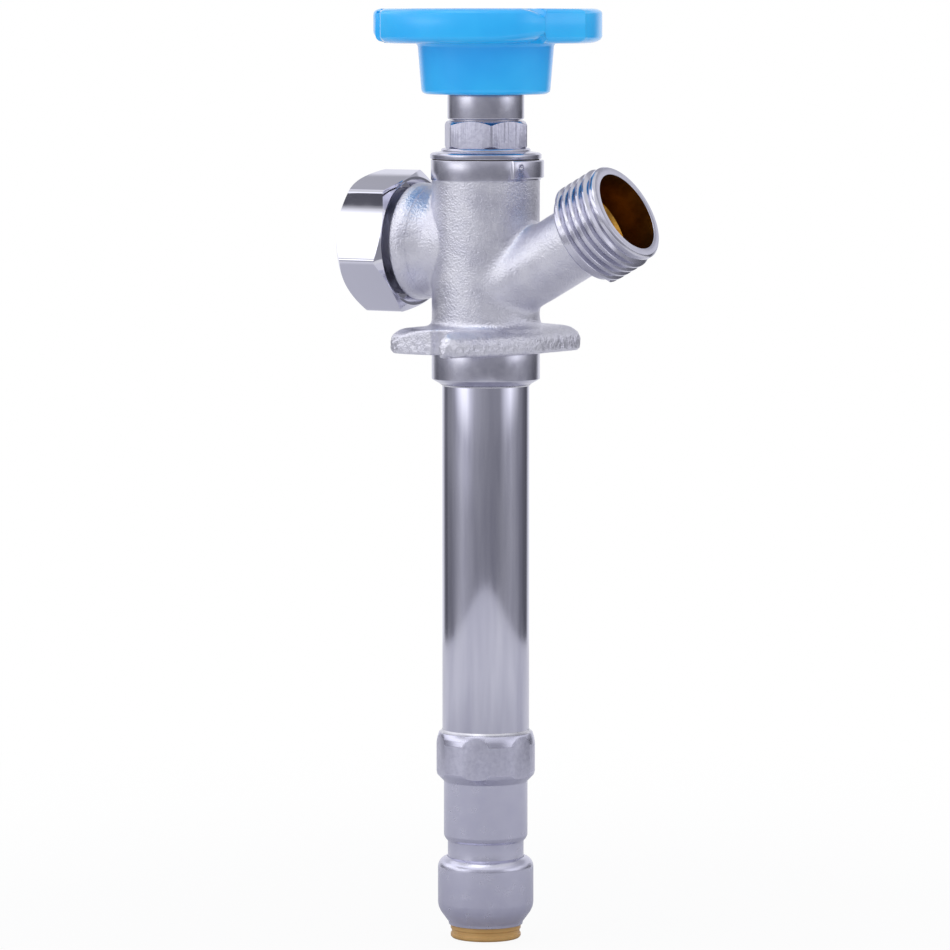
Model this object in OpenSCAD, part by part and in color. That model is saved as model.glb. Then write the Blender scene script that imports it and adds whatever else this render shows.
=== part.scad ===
// Frost free sillcock, six inch, with an angled hose spout, a vacuum breaker on
// its back and a push fit inlet at the far end of its tube.
// The tube's axis is Z, with the handle up. The origin is on that axis, on the face
// of the flange that lies on the wall. The spout leans out along +X.

/* [Wall flange] */
// Half of the flange's length, over the fingers that close its screw slots on one side
flange_half_length = 30; // [29:0.5:31.5]
// Distance from the flange's middle line to the outer side of a finger
finger_side = 8.1; // [7.5:0.1:9]
// Corner radius of a finger's end
finger_r = 2.5; // [1.5:0.1:3]
// Radius of the flange's round middle
flange_mid_r = 17; // [16:0.2:19]
// Half of the flange's width over its two broad arms
arm_half_width = 18.1; // [17:0.1:20]
// Distance from the flange's middle to the end of a broad arm, beside the slot
arm_reach = 20.5; // [19.5:0.1:21.5]
// Corner radius of a broad arm
arm_r = 4.3; // [3:0.1:5]
// Thickness of the flange at its rim
flange_t = 3.8; // [3:0.1:4.4]
// Height of the rounded shoulder between the flange's rim and its top
crown_h = 2.6; // [1.6:0.1:3]
// Width of the rounded shoulder
crown_inset = 4; // [3:0.5:5]
// Width of the open screw slots
slot_w = 8; // [6:0.1:9]
// Distance from the tube's axis to the round end of a slot
slot_reach = 22; // [20.5:0.1:23]

/* [Barrel] */
// Outside radius of the cast barrel
barrel_r = 13.75; // [13.4:0.05:14]
// Height of the casting above the wall
barrel_h = 48.8; // [48:0.1:52]
// Radius of the machined band at the barrel's top
band_r = 13.97; // [13.8:0.01:14.1]
// Height of the machined band
band_h = 5.2; // [4:0.1:7]
// Radius of the raised pad on the band
pad_r = 14.8; // [14.3:0.1:15.2]
// Half of the width of the raised pad
pad_half_w = 7.3; // [5:0.1:9]
// Height of the raised pad
pad_h = 4.6; // [3:0.1:5]
// Radius of the fillet at the barrel's foot
foot_fillet = 1.6; // [0.8:0.1:2]
// Radius of the water chamber in the barrel
chamber_r = 9.2; // [8.6:0.1:9.4]
// Height of the chamber's floor above the wall, where the tube stops
tube_stop_z = 8.8; // [8:0.1:9]
// Radius of the spigot that goes into the hole in the wall
spigot_r = 13.8; // [13.2:0.1:14]
// Length of the spigot's straight part
spigot_straight = 6; // [4:0.5:7]
// Length of the chamfer at the spigot's end
spigot_chamfer = 2.24; // [1:0.01:2.5]

/* [Spout] */
// Angle of the spout above level, in degrees
spout_angle = 28.9; // [26:0.1:31]
// Height at which the spout's axis crosses the tube's axis
spout_z = 13.65; // [13:0.05:14.5]
// Length of the spout from the tube's axis to its mouth
spout_len = 47.3; // [45:0.1:50]
// Outside radius of the spout's neck
spout_neck_r = 9.3; // [9:0.1:10]
// Radius of the waterway in the spout's neck
spout_bore_r = 7.4; // [6:0.1:7.6]
// Radius of the spout's mouth
mouth_r = 10.45; // [9.5:0.05:10.8]
// Depth of the mouth
mouth_depth = 11.3; // [8:0.1:12]
// Radius over the crests of the hose thread
thread_r = 13.49; // [13.2:0.01:13.6]
// Depth of the hose thread
thread_depth = 1.3; // [1:0.05:1.4]
// Pitch of the hose thread
thread_pitch = 2.209; // [2:0.001:2.3]
// Number of crests on the hose thread
thread_crests = 5; // [4:1:5]
// Length of the threaded end, from its shoulder to the mouth
thread_len = 14.2; // [13.6:0.1:16]
// Length of the plain land at the mouth
land_len = 2.6; // [2:0.1:2.8]
// Radius of the plain land at the mouth
land_r = 12.9; // [12.5:0.1:13.1]

/* [Vacuum breaker] */
// Height of the vacuum breaker's axis above the wall
vb_z = 27.7; // [27:0.1:29]
// Radius of the collar on the vacuum breaker's neck
vb_collar_r = 15; // [14.6:0.1:15.4]
// Distance from the tube's axis to the near side of the collar
vb_collar_x = 16.9; // [16.5:0.1:17.5]
// Width of the collar
vb_collar_w = 2.7; // [2:0.1:3]
// Radius of the neck where it meets the barrel
vb_root_r = 12.2; // [11.9:0.1:12.6]
// Outside radius of the neck's thread
vb_thread_r = 13.6; // [13.2:0.1:13.9]
// Distance from the tube's axis to the neck's end
vb_neck_end = 27; // [26.5:0.1:27.4]
// Radius of the vacuum breaker's chamber
vb_chamber_r = 11.2; // [10.8:0.1:11.4]
// Distance from the tube's axis to the chamber's floor
vb_floor_x = 14.4; // [14:0.1:14.8]
// Radius of the passage from the barrel to the chamber
vb_throat_r = 6.4; // [5.5:0.1:6.8]
// Width across the flats of the cap
cap_flats = 33.3; // [32.8:0.1:34]
// Radius that the cap's corners are turned to
cap_corner_r = 18.7; // [18:0.1:19]
// Distance from the tube's axis to the cap's open end
cap_near_x = 21.1; // [20.6:0.1:22]
// Length of the cap
cap_len = 13.5; // [13.2:0.1:15]
// Turn of the cap's flats about its axis, in degrees
cap_turn = 14.4; // [0:0.1:30]
// Thickness of the cap's closed end
cap_wall = 2.4; // [1.8:0.1:2.6]
// Radius of the cap's open mouth
cap_mouth_r = 15.8; // [15.6:0.1:16]
// Depth of the cap's open mouth
cap_mouth_depth = 3.3; // [2.5:0.1:3.8]
// Number of air slots in the cap
vent_count = 4; // [3:1:6]
// Width of an air slot
vent_w = 4; // [2:0.5:5]
// Thickness of the gasket on the neck's end
vb_gasket_t = 0.5; // [0.3:0.1:0.8]
// Thickness of the air seat
air_seat_t = 1.8; // [1.4:0.1:2]
// Radius of the air port
air_port_r = 4.6; // [3.5:0.1:5]
// Distance that the float moves
float_travel = 3; // [2:0.1:3.2]
// Thickness of the float's guide disc
float_disc_t = 2; // [1.5:0.1:2.5]
// Radius of the float's head
float_head_r = 7.6; // [6.8:0.1:7.8]
// Thickness of the rubber disc on the float
float_seal_t = 1.5; // [1:0.1:2]
// Thickness of the wire of the float's spring
spring_wire = 0.9; // [0.6:0.1:1]
// Number of turns of the float's spring
spring_turns = 4; // [3:1:4]

/* [Bonnet and packing] */
// Thickness of the gasket under the bonnet
bonnet_gasket_t = 0.3; // [0.2:0.1:0.6]
// Radius of the bonnet's round flange
bonnet_disc_r = 14.15; // [13.9:0.05:14.4]
// Height of the bonnet's round flange
bonnet_disc_h = 2.3; // [1.8:0.1:3]
// Width across the flats of the bonnet's hexagon
bonnet_flats = 19.7; // [19.2:0.1:21]
// Height of the bonnet's hexagon
bonnet_hex_h = 7.3; // [6.5:0.1:9]
// Turn of the bonnet's flats about the tube's axis, in degrees
bonnet_turn = 8.6; // [0:0.1:30]
// Radius of the thread that goes into the barrel
bonnet_thread_r = 10.3; // [10:0.05:10.6]
// Length of the thread that goes into the barrel
bonnet_thread_len = 11; // [8:0.5:12]
// Outside radius of the packing nut
nut_r = 9.75; // [9.6:0.05:10]
// Height of the packing nut
nut_h = 7.6; // [7.2:0.1:9]
// Thickness of the packing nut's top
nut_top_t = 2; // [1.5:0.1:2.4]
// Radius of the thread under the packing nut
nut_thread_r = 8.6; // [8.2:0.1:8.8]
// Radius of the packing
packing_r = 6.4; // [6:0.1:6.8]
// Height of the packing
packing_h = 2.9; // [2.4:0.1:3]
// Thickness of the washer over the packing
packing_washer_t = 1.1; // [0.9:0.1:1.2]

/* [Handle] */
// Radius of the handle over its lobes
handle_r = 29.5; // [27:0.5:32]
// Depth of the finger hollows between the lobes
hollow_depth = 2.5; // [1:0.1:4]
// Number of lobes
lobes = 3; // [3:1:6]
// Turn of the first lobe about the tube's axis, in degrees
lobe_turn = 36; // [0:0.5:120]
// Height of the handle's rim
rim_h = 8.7; // [8.4:0.1:10]
// Rise of the rim's underside, from the hub to the finger hollows
under_rise = 0.5; // [0.5:0.1:2]
// Width of the rounded edge of the rim
rim_edge = 1.4; // [0.5:0.1:1.4]
// Radius of the hub at its foot
hub_foot_r = 16.4; // [15:0.1:17]
// Radius of the hub under the rim
hub_top_r = 17.4; // [17:0.1:19]
// Height of the hub below the rim
hub_h = 12.9; // [12:0.1:15]
// Length of the packing nut that shows below the hub
nut_show = 6.4; // [5.8:0.1:6.8]
// Radius of the hollow under the hub
hub_hollow_r = 12.4; // [11.5:0.1:13]
// Radius of the dish in the handle's top
dish_r = 20.5; // [16:0.5:22]
// Depth of the dish in the handle's top
dish_depth = 2.2; // [1:0.1:3]
// Radius of the pocket for the handle's screw
pocket_r = 6.6; // [6:0.1:8]
// Depth of the pocket below the dish
pocket_depth = 3.5; // [3:0.1:4]
// Radius of the head of the handle's screw
screw_head_r = 4.4; // [4:0.1:5]
// Height of the head of the handle's screw
screw_head_h = 2.6; // [2:0.1:3]
// Radius of the shank of the handle's screw
screw_r = 1.9; // [1.5:0.1:2]
// Length of the shank of the handle's screw
screw_len = 10; // [7:0.5:11]
// Thickness of the washer under the screw's head
screw_washer_t = 0.8; // [0.5:0.1:1]

/* [Stem and valve] */
// Radius of the long stem
stem_r = 4; // [3.8:0.05:4.2]
// Radius of the stem's thread
stem_thread_r = 4.95; // [4.8:0.05:5.1]
// Length of the stem's thread
stem_thread_len = 13; // [10:0.5:14]
// Width of the square at the stem's top
stem_square = 5.6; // [5:0.1:5.6]
// Distance that the stem rises when the valve opens
stem_rise = 6.25; // [5:0.25:6.5]
// Running clearance round turning and sliding metal pieces
running = 0.05; // [0.03:0.01:0.08]
// Height of the nylon guide on the stem
guide_h = 6; // [4:0.5:8]
// Distance from the wall down to the top of the nylon guide
guide_drop = 40; // [30:1:60]
// Radius of the carrier that holds the seat washer
carrier_r = 8.5; // [8.2:0.1:8.9]
// Height of the carrier
carrier_h = 9; // [8.5:0.5:11]
// Radius of the stem's lower end in the carrier
stem_tip_r = 3; // [2.8:0.1:3.2]
// Radius of the rubber seat washer
washer_r = 7.4; // [7:0.1:7.6]
// Thickness of the rubber seat washer
washer_t = 3; // [2.5:0.1:3.5]
// Gap between the washer and the seat as drawn, closed but not squeezed
washer_gap = 0.1; // [0.05:0.05:0.2]
// Radius of the waterway through the seat
seat_bore_r = 4.6; // [4.3:0.1:4.8]
// Width of the seat's raised lip
seat_lip_w = 1.4; // [1:0.1:1.6]
// Height of the seat's raised lip
seat_lip_h = 2.7; // [2.3:0.1:3]

/* [Tube] */
// Outside radius of the tube
tube_r = 11.11; // [11:0.01:11.2]
// Wall of the tube
tube_wall = 0.9; // [0.8:0.05:1]
// Length of the tube that shows between the spigot and the inlet
tube_show = 89.2; // [60:0.1:340]
// Clearance of the soldered sockets
socket_gap = 0.05; // [0.02:0.01:0.08]

/* [Inlet and push fit] */
// Radius of the inlet's collar
inlet_collar_r = 12.6; // [12.4:0.1:13]
// Length of the sloped shoulder of the collar
inlet_shoulder = 2.6; // [2:0.1:3.5]
// Length of the collar's straight part
inlet_collar_h = 8; // [7:0.1:10]
// Length of the chamfer under the collar
inlet_chamfer = 2.1; // [1.5:0.1:3]
// Width across the wrench flats of the collar
wrench_flats = 24.3; // [24:0.1:24.8]
// Turn of the wrench flats about the tube's axis, in degrees
wrench_turn = 19.4; // [0:0.1:60]
// Radius of the inlet's body below the collar
inlet_body_r = 10.72; // [10.4:0.01:11]
// Length of the inlet's body below the collar
inlet_body_h = 14; // [12:0.5:18]
// Radius of the inlet's neck
inlet_neck_r = 9.72; // [9.5:0.01:9.9]
// Length of the step between body and neck
inlet_step = 1.5; // [1:0.1:2]
// Length of the neck that shows above the bell
inlet_neck_show = 4; // [3:0.1:6]
// Radius of the pipe socket, for pipe of 15.9 mm
socket_r = 8.1; // [8.05:0.01:8.2]
// Length of the tube's end in the inlet
inlet_tube_depth = 9.5; // [8:0.1:10]
// Outside radius of the bell
bell_r = 12.25; // [12:0.05:12.6]
// Length of the bell
bell_len = 17.6; // [17.4:0.1:19]
// Length of the bell's rounded shoulder
bell_shoulder = 2.8; // [2:0.1:3]
// Wall of the bell
bell_wall = 1.4; // [1.2:0.05:1.5]
// Length of the taper at the bell's mouth
bell_taper = 4.2; // [3:0.1:4.6]
// Length of the lip at the bell's mouth
bell_lip = 0.8; // [0.5:0.1:1.2]
// Radius of the release collar
release_r = 9; // [8.95:0.01:9.1]
// Length of the release collar that shows
release_show = 3.5; // [3:0.1:5]
// Distance that the release collar can be pressed
release_travel = 1.2; // [0.8:0.1:1.4]
// Thickness of the ring on the pipe's seal
ring_cs = 2.5; // [2.2:0.1:2.6]
// Thickness of the plastic ring between seal and grab ring
spacer_t = 2; // [1.8:0.1:2.2]
// Thickness of the grab ring's steel
grab_t = 0.4; // [0.3:0.05:0.5]
// Number of teeth on the grab ring
grab_teeth = 12; // [8:1:16]

/* [Hidden] */

$fn = 96;
// Overlap that makes two solids of one casting meet, and cuts clear their faces
eps = 0.01;
through = 1;

spigot_len = spigot_straight + spigot_chamfer;
crown_z = flange_t + crown_h;
band_z = barrel_h - band_h;

bonnet_z = barrel_h + bonnet_gasket_t;
bonnet_hex_z = bonnet_z + bonnet_disc_h;
bonnet_hex_top = bonnet_hex_z + bonnet_hex_h;
bonnet_boss_h = nut_h - nut_top_t - 0.8;
bonnet_boss_top = bonnet_hex_top + bonnet_boss_h;
nut_z = bonnet_hex_top + 0.3;
nut_ceiling = nut_z + nut_h - nut_top_t;
packing_washer_z = nut_ceiling - packing_washer_t;
packing_z = packing_washer_z - packing_h;
bonnet_bottom = barrel_h - bonnet_thread_len;
// The stem's thread stays in the bonnet's thread as it rises
stem_thread_z = bonnet_bottom - 1;
stem_thread_room = stem_thread_z + stem_thread_len + stem_rise + 0.5;

hub_z = nut_z + nut_show;
rim_z = hub_z + hub_h;
handle_top = rim_z + rim_h;
lobe_z = rim_z + under_rise;
under_r = handle_r - hollow_depth - 1.5 * rim_edge;
dish_z = handle_top - dish_depth;
pocket_z = dish_z - pocket_depth;
// The square of the stem ends a little below the pocket's floor
square_z = nut_z + nut_h + 0.6;
stem_top = pocket_z - 0.3;
hub_hollow_top = nut_z + nut_h + 1.2;

tube_bottom_show = -spigot_len - tube_show;
tube_end = tube_bottom_show - inlet_tube_depth;
inlet_top = tube_bottom_show;
collar_z = inlet_top - inlet_shoulder;
chamfer_z = collar_z - inlet_collar_h;
inlet_body_z = chamfer_z - inlet_chamfer;
step_z = inlet_body_z - inlet_body_h;
neck_z = step_z - inlet_step;
bell_top = neck_z - inlet_neck_show;
bell_bottom = bell_top - bell_len;
inlet_rib_top = bell_top - bell_wall - 0.1;
inlet_rib_h = 2;
inlet_end = inlet_rib_top - inlet_rib_h;
socket_stop = inlet_body_z - 2.4;

seat_floor = tube_end - 0.3;
seat_top = seat_floor + seat_lip_h;
washer_z = seat_top + washer_gap;
carrier_z = washer_z + washer_t - 1.4;
carrier_floor = washer_z + washer_t;
carrier_top = carrier_floor + carrier_h;
clip_z = carrier_top - 3;
clip_t = 1;
tip_z = carrier_floor + 2.4;

bell_in_r = bell_r - bell_wall;
bell_mouth_in_r = release_r + 0.12;
bell_ledge_z = bell_bottom + bell_lip + bell_taper - 0.3;
release_flange_t = 1;
release_flange_z = bell_ledge_z + 0.1;
release_bottom = bell_bottom - release_show;
pipe_seal_z = inlet_end - 0.15 - ring_cs;
spacer_z = pipe_seal_z - 0.15 - spacer_t;
grab_z = spacer_z - 0.05 - grab_t;
tooth_rise = 0.9;
// The pressed collar just reaches the teeth
release_nose_top = grab_z + tooth_rise * 0.65 - release_travel - 0.05;

vb_gasket_x = vb_neck_end;
air_seat_x = vb_gasket_x + vb_gasket_t;
air_lip_h = 1.2;
air_lip_x = air_seat_x - air_lip_h;
air_seat_far = air_seat_x + air_seat_t;
cap_far_x = cap_near_x + cap_len;
cap_cavity_far = cap_far_x - cap_wall;
float_seal_x = air_lip_x - 0.1 - float_travel - float_seal_t;
float_x = vb_floor_x + 1.1;
float_head_t = 1.5;
float_boss_r = 2.4;
spring_x0 = float_x + float_disc_t + 0.05;
spring_x1 = air_seat_x - 0.05;
spring_mean_r = (float_head_r + vb_chamber_r) / 2 + 0.1;

brass = [0.80, 0.62, 0.32];
chrome = [0.78, 0.79, 0.82];
cast_chrome = [0.70, 0.71, 0.74];
rubber = [0.10, 0.10, 0.11];

// Turns a shape made along Z so that it lies along -X at the vacuum breaker's height
module on_vb_axis() {
  translate([0, 0, vb_z]) rotate([0, -90, 0]) children();
}

// Turns a shape made along Z so that it lies along the spout
module on_spout_axis() {
  translate([0, 0, spout_z]) rotate([0, 90 - spout_angle, 0]) children();
}

// A ring from z0 up to z1
module ring(r_out, r_in, z0, z1) {
  translate([0, 0, z0]) difference() {
    cylinder(r = r_out, h = z1 - z0);
    translate([0, 0, -through]) cylinder(r = r_in, h = z1 - z0 + 2 * through);
  }
}

// A hexagonal bar with both ends turned to a blunt cone
module turned_hex(flats, corner_r, h, chamfer, low_chamfer) {
  flat_r = flats / sqrt(3);
  intersection() {
    cylinder(r = flat_r, h = h, $fn = 6);
    rotate_extrude() polygon([
      [0, 0], [flats / 2 - 0.2, 0], [corner_r, low_chamfer],
      [corner_r, h - chamfer], [flats / 2 - 0.2, h], [0, h]
    ]);
  }
}

// The flange's outline: a round middle with a broad arm and a narrow finger at each end, turned
// half round from one end to the other, joined by straight sides. Corners as [x, y, radius],
// drawn in from the outline by the inset.
function corner(x, y, r, inset) = let(
    left = max(0.5, r - inset / 2),
    share = 1 - (inset - r + left) / norm([x, y])
  ) [x * share, y * share, left];

// Direction square to the straight side that joins two round corners
function side_dir(a, b) = atan2(b[1] - a[1], b[0] - a[0])
  - acos((a[2] - b[2]) / norm([b[0] - a[0], b[1] - a[1]]));

module flange_plan(inset) {
  mid = [0, 0, flange_mid_r - inset];
  arm = corner(arm_half_width - arm_r, arm_reach - 0.7 - arm_r, arm_r, inset);
  finger = corner(-finger_side + finger_r, flange_half_length - finger_r, finger_r, inset);
  half = [mid, arm, finger];
  other = [for (c = half) [-c[0], -c[1], c[2]]];
  round = concat(half, other);
  for (c = round) translate([c[0], c[1]]) circle(r = c[2]);
  polygon([for (i = [0 : 5]) let(a = round[i], b = round[(i + 1) % 6], dir = side_dir(a, b))
    for (c = [a, b]) [c[0] + c[2] * cos(dir), c[1] + c[2] * sin(dir)]]);
}

// One screw slot, open at the flange's end and on the side of the broad arm
module screw_slot() {
  translate([0, slot_reach, -through]) {
    cylinder(r = slot_w / 2, h = crown_z + 2 * through);
    translate([-slot_w / 2, 0, 0]) cube([slot_w, flange_half_length, crown_z + 2 * through]);
  }
  translate([0, arm_reach, -through]) {
    cube([flange_half_length, flange_half_length, crown_z + 2 * through]);
  }
}

module flange() {
  difference() {
    union() {
      linear_extrude(height = flange_t) flange_plan(0);
      // The rounded shoulder, in steps: [share of its width, share of its height]
      for (step = [[0.1, 0.35], [0.28, 0.62], [0.56, 0.85], [1, 1]]) {
        linear_extrude(height = flange_t + crown_h * step[1]) flange_plan(crown_inset * step[0]);
      }
    }
    for (end = [0, 180]) rotate([0, 0, end]) screw_slot();
  }
}

// Hose thread cut as rings, with a flank on each side of a narrow crest
module hose_thread() {
  root = thread_r - thread_depth;
  crest = thread_pitch * 0.3;
  flank = thread_pitch * 0.28;
  rotate_extrude() {
    polygon([
      [0, spout_len - thread_len], [spout_neck_r, spout_len - thread_len],
      [root, spout_len - thread_len + 1], [root, spout_len - land_len + 0.2],
      [land_r, spout_len - land_len + 0.6], [land_r, spout_len - 0.6],
      [land_r - 0.6, spout_len], [0, spout_len]
    ]);
    for (i = [0 : thread_crests - 1]) {
      z = spout_len - thread_len + 0.9 + i * thread_pitch;
      polygon([
        [root - eps, z - flank], [root - eps, z + crest + flank], [thread_r, z + crest],
        [thread_r, z]
      ]);
    }
  }
}

module valve_body_solid() {
  rotate_extrude() polygon([
    [0, -spigot_len], [spigot_r - spigot_chamfer, -spigot_len], [spigot_r, -spigot_straight],
    [spigot_r, 0], [barrel_r, eps], [barrel_r, band_z - 0.2], [band_r, band_z],
    [band_r, barrel_h], [0, barrel_h]
  ]);
  flange();
  // Fillet between the flange's crown and the barrel
  rotate_extrude() polygon(concat(
    [[barrel_r - 1, flange_t], [barrel_r + foot_fillet, flange_t]],
    [for (a = [0 : 15 : 90]) [
      barrel_r + foot_fillet * (1 - sin(a)),
      crown_z - eps + foot_fillet * (1 - cos(a))
    ]],
    [[barrel_r - 1, crown_z + foot_fillet]]
  ));
  // Raised pad on the machined band, over the spout
  intersection() {
    translate([0, 0, barrel_h - pad_h]) cylinder(r = pad_r, h = pad_h);
    translate([0, -pad_half_w, 0]) cube([pad_r, 2 * pad_half_w, barrel_h + through]);
  }
  on_spout_axis() {
    cylinder(r = spout_neck_r, h = spout_len - thread_len + eps);
    hose_thread();
  }
  on_vb_axis() rotate_extrude() polygon([
    [0, 0], [vb_root_r, 0], [vb_root_r, barrel_r - 2], [vb_collar_r - 0.5, vb_collar_x],
    [vb_collar_r, vb_collar_x + 0.4], [vb_collar_r, vb_collar_x + vb_collar_w],
    [vb_thread_r, vb_collar_x + vb_collar_w + 0.4], [vb_thread_r, vb_neck_end - 0.4],
    [vb_thread_r - 0.4, vb_neck_end], [0, vb_neck_end]
  ]);
}

module valve_body() {
  color(cast_chrome) difference() {
    valve_body_solid();
    // Tube socket, water chamber and bonnet thread, from the wall upwards
    translate([0, 0, -spigot_len - through]) {
      cylinder(r = tube_r + socket_gap, h = spigot_len + through + tube_stop_z);
    }
    cylinder(r = chamber_r, h = barrel_h);
    translate([0, 0, bonnet_bottom - 0.5]) {
      cylinder(r = bonnet_thread_r + running, h = bonnet_thread_len + 0.5 + through);
    }
    on_spout_axis() {
      cylinder(r = spout_bore_r, h = spout_len);
      translate([0, 0, spout_len - mouth_depth]) cylinder(r = mouth_r, h = mouth_depth + through);
      translate([0, 0, spout_len - mouth_depth - 2]) {
        cylinder(r1 = spout_bore_r, r2 = mouth_r, h = 2 + eps);
      }
    }
    on_vb_axis() {
      cylinder(r = vb_throat_r, h = vb_neck_end);
      // The chamber, round the raised lip of the water seat
      difference() {
        translate([0, 0, vb_floor_x]) {
          cylinder(r = vb_chamber_r, h = vb_neck_end - vb_floor_x + through);
        }
        ring(vb_throat_r + 1.3, vb_throat_r, vb_floor_x - eps, vb_floor_x + 0.8);
      }
    }
  }
}

module tube() {
  color(chrome) ring(tube_r, tube_r - tube_wall, tube_end, tube_stop_z - 0.1);
}

// A fillet of solder in the corner between the tube and the socket that it goes into
module solder_fillet(size) {
  rotate_extrude() polygon([
    [tube_r + 0.02, 0.02], [tube_r + size, 0.02], [tube_r + size * 0.4, size * 0.4],
    [tube_r + 0.02, size]
  ]);
}

module upper_solder_ring() {
  color(chrome) translate([0, 0, -spigot_len]) mirror([0, 0, 1]) solder_fillet(0.45);
}

module lower_solder_ring() {
  color(chrome) translate([0, 0, inlet_top]) solder_fillet(0.7);
}

module inlet_fitting() {
  color(chrome) difference() {
    union() {
      intersection() {
        rotate_extrude() polygon([
          [0, inlet_top], [tube_r + 0.9, inlet_top], [inlet_collar_r, collar_z],
          [inlet_collar_r, chamfer_z], [inlet_body_r, inlet_body_z], [0, inlet_body_z]
        ]);
        translate([0, 0, inlet_body_z - eps]) rotate([0, 0, wrench_turn]) {
          cylinder(r = wrench_flats / sqrt(3), h = inlet_top - inlet_body_z + 1, $fn = 6);
        }
      }
      rotate_extrude() polygon([
        [0, inlet_body_z + eps], [inlet_body_r, inlet_body_z + eps], [inlet_body_r, step_z],
        [inlet_neck_r, neck_z], [inlet_neck_r, inlet_rib_top],
        [bell_in_r - 0.05, inlet_rib_top], [bell_in_r - 0.05, inlet_end], [0, inlet_end]
      ]);
    }
    // Socket for the tube, round the raised lip of the seat
    difference() {
      translate([0, 0, seat_floor]) cylinder(r = tube_r + socket_gap, h = inlet_top - seat_floor + through);
      ring(seat_bore_r + seat_lip_w, seat_bore_r, seat_floor - eps, seat_top);
    }
    translate([0, 0, socket_stop]) cylinder(r = seat_bore_r, h = inlet_top - socket_stop);
    translate([0, 0, inlet_end - through]) cylinder(r = socket_r, h = socket_stop - inlet_end + through);
  }
}

module bonnet() {
  color(chrome) difference() {
    union() {
      translate([0, 0, bonnet_bottom]) {
        cylinder(r = bonnet_thread_r, h = bonnet_thread_len + bonnet_gasket_t + eps);
      }
      translate([0, 0, bonnet_z]) rotate_extrude() polygon([
        [0, 0], [bonnet_disc_r, 0], [bonnet_disc_r, bonnet_disc_h - 0.9],
        [bonnet_disc_r - 1.6, bonnet_disc_h], [0, bonnet_disc_h]
      ]);
      translate([0, 0, bonnet_hex_z - eps]) rotate([0, 0, bonnet_turn]) {
        turned_hex(bonnet_flats, bonnet_flats / sqrt(3) - 0.15, bonnet_hex_h + eps, 1, 0.8);
      }
      translate([0, 0, bonnet_hex_top - eps]) cylinder(r = nut_thread_r, h = bonnet_boss_h + eps);
    }
    translate([0, 0, bonnet_bottom - through]) cylinder(r = stem_r + running, h = nut_h * 10);
    translate([0, 0, bonnet_bottom - through]) {
      cylinder(r = stem_thread_r + running, h = stem_thread_room - bonnet_bottom + through);
    }
    translate([0, 0, packing_z]) cylinder(r = packing_r + running, h = nut_h);
  }
}

module bonnet_gasket() {
  color([0.55, 0.33, 0.24]) ring(band_r - 0.4, bonnet_thread_r + 0.2, barrel_h, bonnet_z);
}

module packing() {
  color([0.22, 0.22, 0.23]) ring(packing_r, stem_r + running, packing_z, packing_washer_z);
}

module packing_washer() {
  color(brass) ring(packing_r, stem_r + 2 * running, packing_washer_z, nut_ceiling);
}

module packing_nut() {
  color(chrome) difference() {
    translate([0, 0, nut_z]) rotate_extrude() polygon([
      [0, 0], [nut_r - 0.3, 0], [nut_r, 0.3], [nut_r, nut_h - 0.8], [nut_r - 0.8, nut_h], [0, nut_h]
    ]);
    translate([0, 0, nut_z - through]) {
      cylinder(r = nut_thread_r + running, h = nut_ceiling - nut_z + through);
    }
    translate([0, 0, nut_ceiling - through]) cylinder(r = stem_r + 2 * running, h = nut_top_t + 2 * through);
  }
}

module stem() {
  color(brass) difference() {
    union() {
      translate([0, 0, carrier_top + 0.6]) {
        cylinder(r = stem_r, h = square_z - carrier_top - 0.6);
      }
      translate([0, 0, tip_z]) cylinder(r = stem_tip_r, h = carrier_top + 0.6 - tip_z + eps);
      // Thread that lifts the stem, with a relief groove at each crest
      translate([0, 0, stem_thread_z]) rotate_extrude() polygon([
        [0, 0], [stem_r, 0], [stem_thread_r, 0.8], [stem_thread_r, stem_thread_len - 0.8],
        [stem_r, stem_thread_len], [0, stem_thread_len]
      ]);
      translate([-stem_square / 2, -stem_square / 2, square_z - eps]) {
        cube([stem_square, stem_square, stem_top - square_z + eps]);
      }
      // Shoulders that hold the nylon guide
      for (z = [-guide_drop + 0.1, -guide_drop - guide_h - 1.1]) {
        translate([0, 0, z]) cylinder(r = stem_r + 0.8, h = 1);
      }
    }
    translate([0, 0, stem_top - screw_len - 1]) cylinder(r = screw_r + 0.05, h = screw_len + 1 + through);
    ring(stem_r + 1, stem_tip_r - 0.6, clip_z - 0.1, clip_z + clip_t + 0.1);
  }
}

// Outline of the handle: a circle drawn in between the lobes by narrow finger hollows
function lobe_r(a, inset) = handle_r - inset
  - hollow_depth * pow((1 - cos(lobes * (a - lobe_turn))) / 2, 4);

module lobe_plan(inset) {
  polygon([for (a = [0 : 3 : 357]) lobe_r(a, inset) * [cos(a), sin(a)]]);
}

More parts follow.
